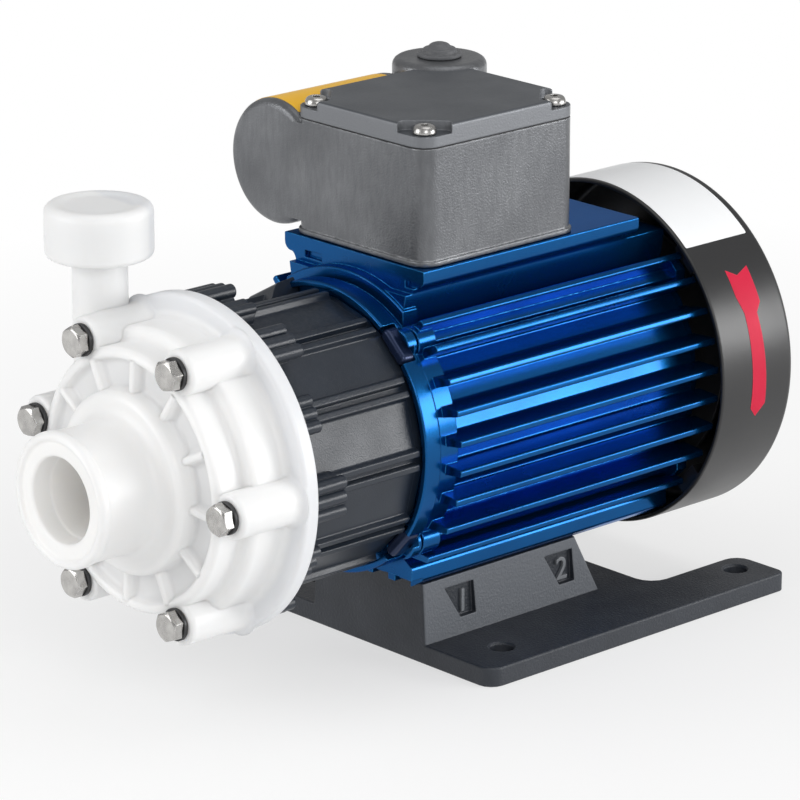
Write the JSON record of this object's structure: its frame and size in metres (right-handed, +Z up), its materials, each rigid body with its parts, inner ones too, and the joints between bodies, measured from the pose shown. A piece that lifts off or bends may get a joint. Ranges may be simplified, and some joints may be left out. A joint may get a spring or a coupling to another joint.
{
  "type": "magnetic drive pump",
  "caption": "Close-coupled pump with a plastic ribbed casing, suction nozzle and capped outlet, finned motor, terminal box, fan cover and slotted foot plate.",
  "frame": {"origin": "middle of the four anchor holes on the underside of the foot plate, straight below the shaft", "axes": "+Y along the shaft from the suction nozzle to the fan, +Z up, +X to the right seen from the nozzle end"},
  "size_m": [0.1373, 0.2983, 0.2124],
  "materials": {
    "white_plastic": "satin",
    "can_plastic": "matte",
    "seal_rubber": "matte",
    "bright_steel": "bright",
    "dark_steel": "blackened",
    "slate_plastic": "satin",
    "blue_paint": "gloss",
    "base_paint": "textured",
    "cover_paint": "satin",
    "box_metal": "satin",
    "cover_metal": "satin",
    "magnet": "plated",
    "carbon": "matte",
    "ceramic": "polished",
    "lamination": "satin",
    "copper": "enamelled copper",
    "aluminium": "satin",
    "brass": "satin",
    "fan_plastic": "matte",
    "block_plastic": "matte"
  },
  "bodies": {
    "housing": {"front_casing": "white_plastic", "rear_casing": "can_plastic", "casing_o_ring": "seal_rubber", "cover_gasket": "seal_rubber", "cable_grommet": "seal_rubber", "spindle": "ceramic", "thrust_ring": "ceramic", "casing_bolt_1": "bright_steel", "casing_bolt_2": "bright_steel", "casing_bolt_3": "bright_steel", "casing_bolt_4": "bright_steel", "casing_bolt_5": "bright_steel", "casing_bolt_6": "bright_steel", "tie_bolt_1": "bright_steel", "tie_bolt_2": "bright_steel", "tie_bolt_3": "bright_steel", "tie_bolt_4": "bright_steel", "foot_screw_1": "bright_steel", "foot_screw_2": "bright_steel", "foot_screw_3": "bright_steel", "foot_screw_4": "bright_steel", "cover_screw_1": "bright_steel", "cover_screw_2": "bright_steel", "cover_screw_3": "bright_steel", "front_bearing_outer_race": "bright_steel", "rear_bearing_outer_race": "bright_steel", "lock_washer_1": "dark_steel", "lock_washer_2": "dark_steel", "lock_washer_3": "dark_steel", "lock_washer_4": "dark_steel", "lock_washer_5": "dark_steel", "lock_washer_6": "dark_steel", "bracket": "slate_plastic", "front_shield": "blue_paint", "motor_frame": "blue_paint", "rear_shield": "blue_paint", "stator_core": "lamination", "stator_winding": "copper", "fan_cover": "cover_paint", "base": "base_paint", "terminal_box": "box_metal", "box_cover": "cover_metal", "terminal_block": "block_plastic", "capacitor": "aluminium"},
    "rotor": {"motor_shaft": "bright_steel", "rotor_core": "lamination", "front_bearing_inner_race": "bright_steel", "rear_bearing_inner_race": "bright_steel", "cooling_fan": "fan_plastic", "drive_yoke": "bright_steel", "drive_magnet": "magnet"},
    "impeller_body": {"impeller": "white_plastic", "driven_magnet": "magnet", "impeller_bush": "carbon"},
    "front_ball_set": {"front_bearing_balls": "brass"},
    "rear_ball_set": {"rear_bearing_balls": "brass"},
    "cap_lifter": {"cap_seal": "seal_rubber"},
    "cap": {"discharge_cap": "white_plastic"}
  },
  "joints": [
    {"name": "motor_spin", "type": "hinge", "parent": "housing", "child": "rotor", "pos_m": [0, -0.02835, 0.088], "axis": [0, 1, 0], "continuous": true},
    {"name": "impeller_spin", "type": "hinge", "parent": "housing", "child": "impeller_body", "pos_m": [0, -0.14835, 0.088], "axis": [0, 1, 0], "continuous": true},
    {"name": "front_ball_spin", "type": "hinge", "parent": "housing", "child": "front_ball_set", "pos_m": [0, -0.09215, 0.088], "axis": [0, 1, 0], "continuous": true},
    {"name": "rear_ball_spin", "type": "hinge", "parent": "housing", "child": "rear_ball_set", "pos_m": [0, 0.04175, 0.088], "axis": [0, 1, 0], "continuous": true},
    {"name": "cap_lift", "type": "slide", "parent": "housing", "child": "cap_lifter", "axis": [0, 0, 1], "range_m": [0, 0.0138]},
    {"name": "cap_turn", "type": "hinge", "parent": "cap_lifter", "child": "cap", "pos_m": [-0.0356, -0.17555, 0.168], "axis": [0, 0, 1], "range_deg": [0, 2160]}
  ],
  "couplings": [
    {"joint": "impeller_spin", "follows": "motor_spin", "ratio": 1},
    {"joint": "front_ball_spin", "follows": "motor_spin", "ratio": 0.396},
    {"joint": "rear_ball_spin", "follows": "motor_spin", "ratio": 0.396},
    {"joint": "cap_lift", "follows": "cap_turn", "m_per_rad": 0.00036605}
  ]
}
